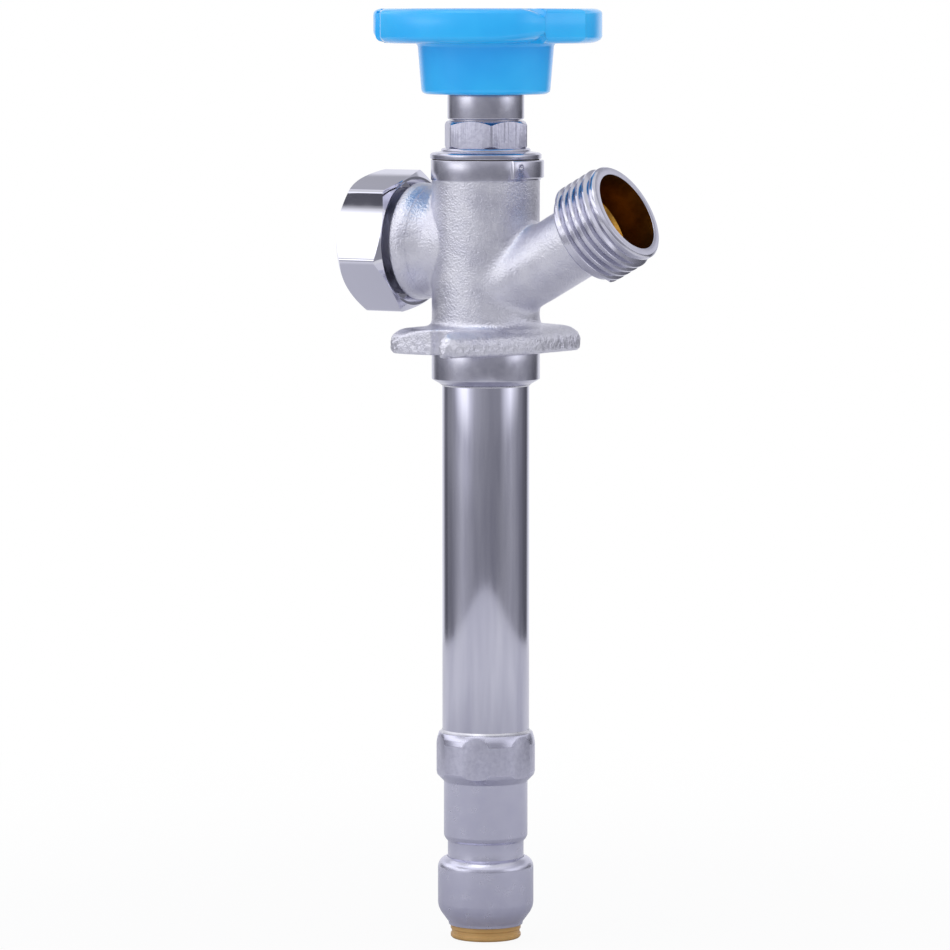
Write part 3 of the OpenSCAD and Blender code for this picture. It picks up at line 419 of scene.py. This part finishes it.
# The ridge runs out at both ends, because the blank was chamfered before it was threaded.
envelope = turned("envelope", [(11.9, 33.4), (12.3, 33.7), (13.49, 34.5), (13.49, 44.4), (12.3, 45.3),
                               (11.9, 45.4)], 0, 128)
carve(ridge, envelope, "INTERSECT")
carve(hose_end, ridge, "UNION")
lay(hose_end, spout_turn, spout_foot)
paint(hose_end, turned_chrome, raw_brass, bore_shade_brass)
# The mouth's wall takes the painted shade; the seat at its foot keeps the gold brass.
for face in hose_end.data.polygons:
    along, off = by_spout(face.center / mm)
    if off < 10.5 and 33.3 < along < 46.6:
        face.material_index = 2 if along > 37.9 else 1
shade(hose_end, 30)
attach(hose_end, "sillcock_body")
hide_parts("valve_body")

# The tube: copper, 22 mm across, chromium plated and softly polished, soldered into the
# casting at one end and into the inlet at the other. The plating shows faint upright streaks.
tube_chrome, shader = finish("tube_chrome", "#C6C6D2", 1.0, 0.22)
place = add(tube_chrome, "TexCoord", {})
wide = add(tube_chrome, "Mapping", {"Scale": (1, 1, 0.08)}, Vector=place.outputs["Object"])
streaks = add(tube_chrome, "TexNoise", {"Scale": 1000 / 4, "Detail": 3.0},
              Vector=wide.outputs["Vector"]).outputs["Fac"]
tint(tube_chrome, shader, streaks, "#B2B2C2", "#D0D0DC")
sheen(tube_chrome, shader, streaks, 0.07, 0.13)
tube = turned("plated_tube", [(10.21, -106.94), (11.11, -106.94), (11.11, 8.7), (10.21, 8.7)], 0.12, 128)
paint(tube, tube_chrome)
shade(tube)
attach(tube, "sillcock_body")
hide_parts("tube")

# The two solder joints: thin beads drawn into the corners by heat, bright and slightly uneven.
solder, shader = finish("tin_solder", "#D2D2D8", 1.0, 0.28)
runs = speckle(solder, 1.5)
sheen(solder, shader, runs, 0.18, 0.42)
relief(solder, shader, runs, 0.6, 0.1)


def coat(material, *nodes):
    """Gives carried-over CAD nodes this material."""
    for name in nodes:
        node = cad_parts[name]
        if not node.material_slots:
            node.data.materials.append(material)
        for slot in node.material_slots:
            slot.material = material


coat(solder, "upper_solder_ring", "lower_solder_ring")

# The inlet fitting: turned from a forged brass blank and plated. Its collar keeps six shallow
# wrench flats with the forging's pitted skin, between a bright shoulder and a plain body.
fitting_chrome, shader = finish("satin_chrome", "#C8C8D8", 1.0, 0.3)
haze = speckle(fitting_chrome, 3, 3.0)
tint(fitting_chrome, shader, haze, "#C4C4D5", "#CCCCDB")
sheen(fitting_chrome, shader, haze, 0.24, 0.28)
forged_chrome, shader = finish("forged_chrome", "#C4C4D4", 1.0, 0.34)
pits = speckle(forged_chrome, 1.1, 3.0, Roughness=0.6)
tint(forged_chrome, shader, pits, "#BCBCCD", "#CACAD9", 0.6)
relief(forged_chrome, shader, pits, 1.0, 0.07)

fitting = turned("inlet", [
    (11.18, -97.44), (11.95, -97.44), (12.4, -98.9), (12.6, -100.2), (12.6, -107.6), (12.4, -108.4),
    (10.72, -110.14), (10.72, -124.14), (10.3, -125.0), (9.72, -125.64), (9.72, -131.14), (10.8, -131.14),
    (10.8, -133.14), (8.1, -133.14), (8.1, -112.54), (4.6, -112.54), (4.6, -104.54), (6, -104.54),
    (6, -107.24), (11.18, -107.24)], 0.15, 128)
flats = turned("flats", [(11.5, -97), (14, -97), (14, -110), (11.5, -110)])
across_flats, flats_turn = 24.3, 19.4
bpy.ops.object.select_all(action="DESELECT")
bpy.ops.mesh.primitive_cylinder_add(
    vertices=6, radius=across_flats / math.sqrt(3) * mm, depth=20 * mm, location=(0, 0, -104 * mm),
    rotation=(0, 0, math.radians(flats_turn - 30)))
hexagon = bpy.context.object
bpy.ops.object.transform_apply(location=True, rotation=True, scale=True)
carve(flats, hexagon)
carve(fitting, flats)
paint(fitting, fitting_chrome, forged_chrome)
for face in fitting.data.polygons:
    at = face.center / mm
    flat = abs(face.normal.z) < 0.05 and -109 < at.z < -99 and math.hypot(at.x, at.y) > 12
    face.material_index = 1 if flat else 0
shade(fitting, 25)
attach(fitting, "sillcock_body")
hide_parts("inlet_fitting")

# The push-fit bell: drawn brass, plated, pressed over the inlet's rib and rolled in at its
# mouth. It holds the pipe's rubber ring, a plastic spacer and a steel ring of sprung teeth.
bell = turned("bell", [
    (9.8, -129.66), *arc((9.45, -132.44), 2.8, 78, 0, 8), (12.25, -141.6), (12.05, -142.7), (11.5, -143.9),
    (9.75, -146.3), (9.55, -146.6), (9.45, -147.24), (9.14, -147.24), (9.14, -142.54), (10.85, -142.54),
    (10.85, -131.04), (9.8, -131.04)], 0.1, 128)
paint(bell, fitting_chrome)
shade(bell, 30)
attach(bell, "sillcock_body")
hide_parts("push_fit_bell")

# Black rubber, dull with a faint bloom, on the pipe's ring, the seat washer and the float.
black_rubber, shader = finish("epdm_rubber", "#1B1B1D", 0.0, 0.55)
bloom = speckle(black_rubber, 2, 3.0)
sheen(black_rubber, shader, bloom, 0.45, 0.65)
coat(black_rubber, "pipe_seal", "seat_washer", "float_seal")

# Blue acetal: an even, half-glossy blue on the spacer behind the grab ring.
blue_plastic, shader = finish("blue_acetal", "#3F6FB8", 0.0, 0.4)
flow = speckle(blue_plastic, 6)
tint(blue_plastic, shader, flow, "#3A68AE", "#4476C2")
coat(blue_plastic, "seal_spacer")

# Stainless spring steel: cool grey, drawn smooth, on the grab ring, the clip and the spring.
spring_steel, shader = finish("spring_steel", "#B9BBC0", 1.0, 0.25)
drawn = speckle(spring_steel, 1.2)
sheen(spring_steel, shader, drawn, 0.2, 0.34)
coat(spring_steel, "grab_ring", "carrier_clip", "float_spring")

# The release collar: moulded acetal in a warm tan, soft and slightly waxy, with a groove
# round it. Pressed into the bell, it lifts the teeth off the pipe.
tan_plastic, shader = finish("tan_acetal", "#C49A5C", 0.0, 0.42, Subsurface_Weight=0.05,
                             Subsurface_Scale=0.002)
flow = speckle(tan_plastic, 5, 3.0)
tint(tan_plastic, shader, flow, "#BC9254", "#CBA264")
release = turned("release", [
    (8.15, -150.74), (8.6, -150.74), (9, -150.3), (9, -149.54), (8.72, -149.4), (8.72, -148.5),
    (9, -148.34), (9, -142.44), (10.55, -142.44), (10.55, -141.44), (9, -141.44), (8.6, -139.95),
    (8.15, -139.95)], 0.12, 128)
paint(release, tan_plastic)
shade(release, 30)
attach(release, "pipe_release")
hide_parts("release_collar")

# The valve in the tube's warm end, and the long stem that works it: brass turned from bar,
# with a rubber washer under a brass screw and a nylon star that keeps the stem central.
natural_nylon, shader = finish("natural_nylon", "#E6E3D6", 0.0, 0.45, Subsurface_Weight=0.1,
                               Subsurface_Scale=0.002)
flow = speckle(natural_nylon, 4)
tint(natural_nylon, shader, flow, "#E0DCCD", "#ECE9DE")
coat(raw_brass, "stem", "washer_carrier", "seat_washer_screw")
coat(natural_nylon, "stem_guide", "float")

# The bonnet: forged brass with a hexagon, screwed into the barrel onto a fibre gasket. Its
# flats keep the forging's skin; its round flange is turned.
fibre, shader = finish("fibre_gasket", "#55504E", 0.0, 0.75)
felt = speckle(fibre, 0.7, 4.0)
tint(fibre, shader, felt, "#4A4644", "#625D5A")
coat(fibre, "bonnet_gasket", "air_seat_gasket")


def hexagonal(name, flats, corner, low, high, turn, low_cut, high_cut, rounding, swell=0):
    """A hexagonal bar with rounded edges, its ends turned to cones, so the flats end in arches.
    The flats may swell a little, as those of a forging do."""
    bpy.ops.object.select_all(action="DESELECT")
    bpy.ops.mesh.primitive_cylinder_add(vertices=288, radius=mm, depth=(high - low) * mm,
                                        location=(0, 0, (low + high) / 2 * mm))
    piece = bpy.context.object
    piece.name = piece.data.name = name
    bpy.ops.object.transform_apply(location=True, rotation=True, scale=True)
    edge = flats / 2 - swell
    round_at = (edge - rounding) / math.cos(math.radians(30))
    meet = math.atan2(round_at / 2, edge)
    for v in piece.data.vertices:
        from_flat = math.radians(abs((math.degrees(math.atan2(v.co.y, v.co.x)) - turn) % 60 - 30))
        from_edge = math.radians(30) - from_flat
        if from_flat < meet:
            reach = (flats / 2 - swell * (math.tan(from_flat) / math.tan(meet)) ** 2) / math.cos(from_flat)
        else:
            reach = round_at * math.cos(from_edge)
            reach += math.sqrt(rounding ** 2 - (round_at * math.sin(from_edge)) ** 2)
        v.co.xy *= reach
    cone = turned("cone", [
        (0, low), (flats / 2 - 0.2, low), (corner, low + low_cut), (corner, high - high_cut),
        (flats / 2 - 0.2, high), (0, high)], 0, 144)
    return carve(piece, cone, "INTERSECT")


bonnet = hexagonal("bonnet_body", flats=19.7, corner=11.22, low=51.4, high=58.7, turn=8.6, low_cut=0.9,
                   high_cut=1.1, rounding=0.5)
modify(bonnet, "BEVEL", width=0.22 * mm, segments=3, limit_method="ANGLE", angle_limit=math.radians(25))
disc = turned("disc", [
    (0, 37.8), (10.3, 37.8), (10.3, 49.1), (14.15, 49.1), (14.15, 50.2), (13.6, 50.6), (11.35, 50.9),
    (11.4, 51.3), (11.1, 51.7), (10.5, 51.8), (9.8, 52.0), (0, 52.0)], 0.1)
carve(bonnet, disc, "UNION")
carve(bonnet, turned("boss", [(0, 57), (8.6, 57), (8.6, 63.5), (0, 63.5)]), "UNION")
carve(bonnet, turned("bonnet_bore", [
    (0, 37), (5, 37), (5, 56.6), (4.05, 56.6), (4.05, 60.6), (6.45, 60.6), (6.45, 64), (0, 64)]))
paint(bonnet, turned_chrome, forged_chrome)
for face in bonnet.data.polygons:
    at = face.center / mm
    forged = abs(face.normal.z) < 0.3 and 51.8 < at.z < 58.7 and math.hypot(at.x, at.y) > 9.4
    face.material_index = 1 if forged else 0
shade(bonnet, 30)
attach(bonnet, "sillcock_body")
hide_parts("bonnet")

# The packing round the stem, its brass washer, and the round nut that presses them down.
graphite, shader = finish("graphite_packing", "#3A3B3D", 0.0, 0.6)
plait = speckle(graphite, 1.0, 3.0)
tint(graphite, shader, plait, "#2E2F31", "#4A4B4E")
coat(graphite, "packing")
coat(raw_brass, "packing_washer")
nut = turned("round_nut", [
    (8.65, 59), (9.45, 59), (9.75, 59.3), (9.75, 65.8), (8.95, 66.6), (4.12, 66.6), (4.12, 64.6),
    (8.65, 64.6)], 0.12)
paint(nut, turned_chrome)
shade(nut)
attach(nut, "sillcock_body")
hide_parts("packing_nut")

# The vacuum breaker's cap: a hexagonal brass cap with polished flats, plated like a mirror.
# Four slots inside it lead the air from its mouth, past its thread, to the float.
mirror_chrome, shader = finish("mirror_chrome", "#D6D6E2", 1.0, 0.05)
wipe = speckle(mirror_chrome, 6)
sheen(mirror_chrome, shader, wipe, 0.03, 0.08)
coat(raw_brass, "air_seat")

cap = hexagonal("breaker_cap", flats=33.3, corner=18.85, low=21.1, high=34.6, turn=14.4, low_cut=1.6,
                high_cut=2.0, rounding=1.6, swell=0.35)
modify(cap, "BEVEL", width=0.35 * mm, segments=3, limit_method="ANGLE", angle_limit=math.radians(25))
carve(cap, turned("cap_bore", [
    (0, 20), (15.8, 20), (15.8, 24.4), (13.65, 24.4), (13.65, 29.3), (10.8, 29.3), (10.8, 32.2), (0, 32.2)],
    0, 128))
for i in range(4):
    carve(cap, lay(block((7.5, 0, 26.95), (15, 4, 9.7)), (0, 0, 90 * i + 45)))
lay(cap, breaker_turn, breaker_foot)
paint(cap, mirror_chrome)
shade(cap, 30)
modify(cap, "WEIGHTED_NORMAL", keep_sharp=True)
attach(cap, "sillcock_body")
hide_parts("vacuum_cap")

# The handle: glossy blue plastic, moulded in one piece, with three lobes round a shallow
# dish and a tapered hub below, held on the stem's square by a screw.
blue_handle, shader = finish("glossy_blue_abs", "#1FB2FB", 0.0, 0.2, Coat_Weight=0.3, Coat_Roughness=0.06)
flow = speckle(blue_handle, 12)
tint(blue_handle, shader, flow, "#1AAEFA", "#26BAFF")
relief(blue_handle, shader, flow, 0.15, 0.1)

# A round rim with soft edges first. Then three finger hollows are drawn into it. The lobe on
# one side of a hollow runs out thin and low into it, and the next one starts with its full
# height, on a flat face. Angles count in degrees, after one hollow and before the next.
lobe_r, face_r, face_end = 29.5, 27.1, 24
first_hollow, run_out, sink_from, least = -25.5, 31, 14, 0.2
fall, lift, sink, bend = 1.5, 1.9, 2.1, 1.3
hub_r, dish_r, rim_width, between = 17, 20.5, 9, 83
handle = turned("lobed_handle", [
    (0, 78.3), (17, 78.3), (21, 78.35), *[(2 * r - 25.9, z) for r, z in arc((25.9, 80.1), 1.8, 270, 360)],
    *[(2 * r - 24.7, z) for r, z in arc((25.9, 85.8), 1.2, 0, 90)], (22, 87), (0, 87)], 0, 240)
for v in handle.data.vertices:
    radius = v.co.xy.length / mm
    after = (math.degrees(math.atan2(v.co.y, v.co.x)) - first_hollow) % 120
    before = 120 - after
    reach = lobe_r
    if after < face_end:
        reach = face_r / math.cos(math.radians(after))
    elif before < run_out:
        reach = lobe_r - fall * (1 - before / run_out) ** 2
    edge = min(1, max(0, (radius - dish_r) / rim_width))
    if least < before < run_out and v.co.z < between * mm:
        v.co.z += lift * (1 - before / run_out) ** bend * edge * mm
    if least < before < sink_from and v.co.z > between * mm:
        v.co.z -= sink * (1 - before / sink_from) ** bend * edge * mm
    if radius > hub_r:
        v.co.xy *= 1 + (reach - lobe_r) * edge / radius
modify(handle, "BEVEL", width=0.2 * mm, segments=2, limit_method="ANGLE", angle_limit=math.radians(30))
hub = turned("hub", [
    (0, 65.4), (15.3, 65.4), (16.2, 65.9), (16.4, 66.6), (17.3, 77.6), (18.2, 79), (0, 79)], 0.3, 128)
carve(handle, hub, "UNION")
carve(handle, turned("dish", [(0, 84.8), (19.2, 84.8), (20.2, 85.5), (20.7, 90), (0, 90)], 0.3, 128))
carve(handle, turned("pocket", [(0, 81.3), (6.6, 81.3), (6.9, 90), (0, 90)]))
carve(handle, turned("hollow", [(0, 60), (12.4, 60), (12.4, 67.8), (0, 67.8)]))
carve(handle, block((0, 0, 75), (5.7, 5.7, 18)))
paint(handle, blue_handle)
shade(handle, 30)
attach(handle, "handle_and_stem")
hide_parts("handle")

# Zinc on steel: pale bluish grey with a soft spangle, on the handle's screw and washer.
zinc_steel, shader = finish("zinc_plated_steel", "#C3C5CC", 1.0, 0.32)
spangle = speckle(zinc_steel, 1.6)
tint(zinc_steel, shader, spangle, "#B4B8C0", "#CFD2D8")
coat(zinc_steel, "handle_washer", "handle_screw")

# The studio: an oval white table top, white all round, tall soft lamps on both sides and one
# above, and a tent of paler and darker cloth that only polished metal sees. The table is
# painted greyer round the object's foot, a painted shade that the metal reflects and that throws
# less light back up, and the camera sees its edge as white as what is behind it.
camera_bearing = -58.5
pale_floor, shader = finish("pale_floor", "#E2E2E8", 0.0, 0.9)
tree = pale_floor.node_tree
place = add(pale_floor, "TexCoord", {}).outputs["Object"]
reach = add(pale_floor, "VectorMath", {"operation": "LENGTH"}, Vector=place)
# Painted shade: the table's colour greys from 0.3 m in to 0.14 m round the object's foot.
near = add(pale_floor, "MapRange", {"From Min": 0.14, "From Max": 0.3}, Value=reach.outputs["Value"])
add(pale_floor, "ValToRGB", {"stops": [(0.0, "#B4B4BE"), (1.0, "#E2E2E8")]}, (shader, "Base Color"),
    Fac=near.outputs["Result"])
fade = add(pale_floor, "MapRange", {"From Min": 0.2, "From Max": 0.4, "To Min": 0.94, "To Max": 1.0},
           Value=reach.outputs["Value"])
seen = add(pale_floor, "LightPath", {})
share = add(pale_floor, "Math", {"operation": "MULTIPLY"})
tree.links.new(seen.outputs["Is Camera Ray"], share.inputs[0])
tree.links.new(fade.outputs["Result"], share.inputs[1])
glow = add(pale_floor, "Emission", {"Color": (1, 1, 1, 1), "Strength": 1.0})
blend = add(pale_floor, "MixShader", {}, (tree.nodes["Material Output"], "Surface"),
            Fac=share.outputs[0])
tree.links.new(shader.outputs[0], blend.inputs[1])
tree.links.new(glow.outputs[0], blend.inputs[2])
bpy.ops.object.select_all(action="DESELECT")
bpy.ops.mesh.primitive_circle_add(vertices=128, radius=1, fill_type="NGON")
floor = bpy.context.object
floor.name = "table_top"
floor.scale = (0.6, 0.42, 1)
floor.rotation_euler = (0, 0, math.radians(camera_bearing))
floor.location = (0, 0, -0.1512)
bpy.ops.object.transform_apply(location=True, rotation=True, scale=True)
paint(floor, pale_floor)

tent_cloth = bpy.data.materials.new("tent_cloth")
tent_cloth.use_nodes = True
tree = tent_cloth.node_tree
tree.nodes.remove(tree.nodes["Principled BSDF"])
place = add(tent_cloth, "TexCoord", {}).outputs["Object"]
bearing = add(tent_cloth, "TexGradient", {"gradient_type": "RADIAL"}, Vector=place)
# Each ring of cloth, from the lowest up, has its tones by bearing from the camera's side.
# A tone of 1 is white, and the two broad light panels are brighter than that.
rings = [
    (None, [(-180, 0.95), (-152, 0.9), (-135, 0.15), (-106, 0.24), (-63, 0.55), (-29, 0.36), (0, 0.33),
            (35, 0.3), (71, 0.42), (95, 0.36), (118, 0.18), (136, 0.12), (152, 0.9), (180, 0.95)]),
    (-0.15, [(-180, 0.95), (-152, 0.9), (-135, 0.2), (-106, 0.3), (-91, 0.4), (-79, 0.6), (-66, 0.75),
             (-52, 0.75), (-43, 0.6), (-29, 0.42), (0, 0.33), (35, 0.3), (50, 0.42), (68, 0.5),
             (84, 0.42), (100, 0.36), (118, 0.2), (136, 0.12), (152, 0.9), (180, 0.95)]),
    (0.14, [(-180, 0.95), (-152, 0.9), (-135, 0.25), (-107, 0.35), (-91, 0.7), (-79, 1.5), (-66, 2.0),
            (-52, 2.0), (-43, 1.2), (-30, 0.6), (-8, 0.42), (15, 0.36), (38, 0.38), (50, 0.95),
            (68, 1.7), (84, 1.1), (100, 0.45), (120, 0.25), (136, 0.15), (152, 0.9), (180, 0.95)]),
    (0.5, [(-180, 0.95), (-150, 0.95), (-130, 1.1), (-100, 1.4), (-78, 0.8), (-66, 0.45), (-54, 0.6),
           (-40, 0.8), (-20, 0.6), (0, 0.6), (40, 0.6), (60, 1.2), (90, 1.1), (120, 0.8), (150, 0.9),
           (180, 0.95)]),
    (0.72, [(-180, 0.95), (-150, 0.95), (-130, 1.1), (-100, 1.6), (-66, 2.0), (-52, 1.7), (-40, 0.9),
            (-20, 0.6), (0, 0.6), (40, 0.6), (60, 1.2), (90, 1.1), (120, 0.8), (150, 0.9), (180, 0.95)]),
    (1.45, [(-180, 0.42), (-160, 0.6), (-120, 1.3), (-92, 1.3), (-82, 0.15), (-60, 0.1), (-50, 1.0),
            (0, 0.9), (50, 0.9), (75, 0.6), (110, 0.5), (150, 0.5), (180, 0.42)]),
    (2.1, [(-180, 0.42), (-168, 0.5), (-155, 1.3), (-60, 1.4), (0, 1.1), (60, 1.0), (110, 0.6),
           (150, 0.5), (180, 0.42)])]
brightest, seam = 2.0, 0.08
axes = add(tent_cloth, "SeparateXYZ", {}, Vector=place)
cloth = None
for height, tones in rings:
    stops = []
    for offset, tone in tones:
        level = round(255 * (1.055 * (tone / brightest) ** (1 / 2.4) - 0.055))
        code = "#%02X%02X%02X" % (level, level, min(255, level + 5))
        stops.append((((camera_bearing + offset) / 360 + 0.5) % 1.0, code))
    ring = add(tent_cloth, "ValToRGB", {"stops": sorted(stops)}, Fac=bearing.outputs["Fac"])
    if cloth:
        rise = add(tent_cloth, "MapRange", {"From Min": height - seam, "From Max": height + seam},
                   Value=axes.outputs["Z"])
        ring = add(tent_cloth, "MixRGB", {}, Fac=rise.outputs["Result"], Color1=cloth.outputs["Color"],
                   Color2=ring.outputs["Color"])
    cloth = ring
add(tent_cloth, "Emission", {"Strength": brightest}, (tree.nodes["Material Output"], "Surface"),
    Color=cloth.outputs["Color"])
bpy.ops.object.select_all(action="DESELECT")
bpy.ops.mesh.primitive_cylinder_add(vertices=96, radius=3, depth=4.5, end_fill_type="NOTHING",
                                    location=(0, 0, 1.35))
tent = bpy.context.object
tent.name = "tent"
bpy.ops.object.transform_apply(location=True, rotation=True, scale=True)
paint(tent, tent_cloth)
tent.visible_camera = tent.visible_diffuse = tent.visible_shadow = tent.visible_transmission = False

sky = bpy.data.worlds.new("studio")
bpy.context.scene.world = sky
sky.use_nodes = True
sky.node_tree.nodes["Background"].inputs["Color"].default_value = (1, 1, 1, 1)
seen = add(sky, "LightPath", {})
add(sky, "MapRange", {"To Min": 0.9, "To Max": 1.0},
    (sky.node_tree.nodes["Background"], "Strength"), Value=seen.outputs["Is Camera Ray"])


def lamp(name, turn, distance, height, wide, tall, power, shows=False):
    """A soft rectangular lamp, turned from the camera's side, facing the object."""
    bearing = math.radians(camera_bearing + turn)
    light = bpy.data.lights.new(name, "AREA")
    light.shape, light.size, light.size_y, light.energy = "RECTANGLE", wide, tall, power
    made = bpy.data.objects.new(name, light)
    bpy.context.scene.collection.objects.link(made)
    made.location = (distance * math.cos(bearing), distance * math.sin(bearing), height)
    made.rotation_mode = "QUATERNION"
    made.rotation_quaternion = (Vector((0, 0, 0)) - made.location).to_track_quat("-Z", "Y")
    made.visible_camera = False
    made.visible_glossy = shows


lamp("left_softbox", turn=-66, distance=2.2, height=0.53, wide=0.8, tall=1.3, power=4.6)
lamp("right_softbox", turn=70, distance=2.4, height=0.53, wide=0.5, tall=1.3, power=2.4)
lamp("top_softbox", turn=-40, distance=0.9, height=2.2, wide=1.4, tall=1.4, power=7, shows=True)

# The camera, a long way back at the photograph's height and side.
camera = bpy.data.objects.new("camera", bpy.data.cameras.new("camera"))
bpy.context.scene.collection.objects.link(camera)
bpy.context.scene.camera = camera
side, rise, distance = math.radians(31.5), math.radians(5.03), 1385.6
aim_height, aim_right = -31.6, -2.75
forward = -Vector((math.sin(side) * math.cos(rise), -math.cos(side) * math.cos(rise), math.sin(rise)))
right = Vector((math.cos(side), math.sin(side), 0))
camera.location = (Vector((0, 0, aim_height)) + aim_right * right - forward * distance) * mm
camera.rotation_mode = "QUATERNION"
camera.rotation_quaternion = forward.to_track_quat("-Z", "Y")
camera.data.angle = math.radians(10)
bpy.context.scene.view_settings.view_transform = "Standard"

bpy.ops.object.select_all(action="DESELECT")
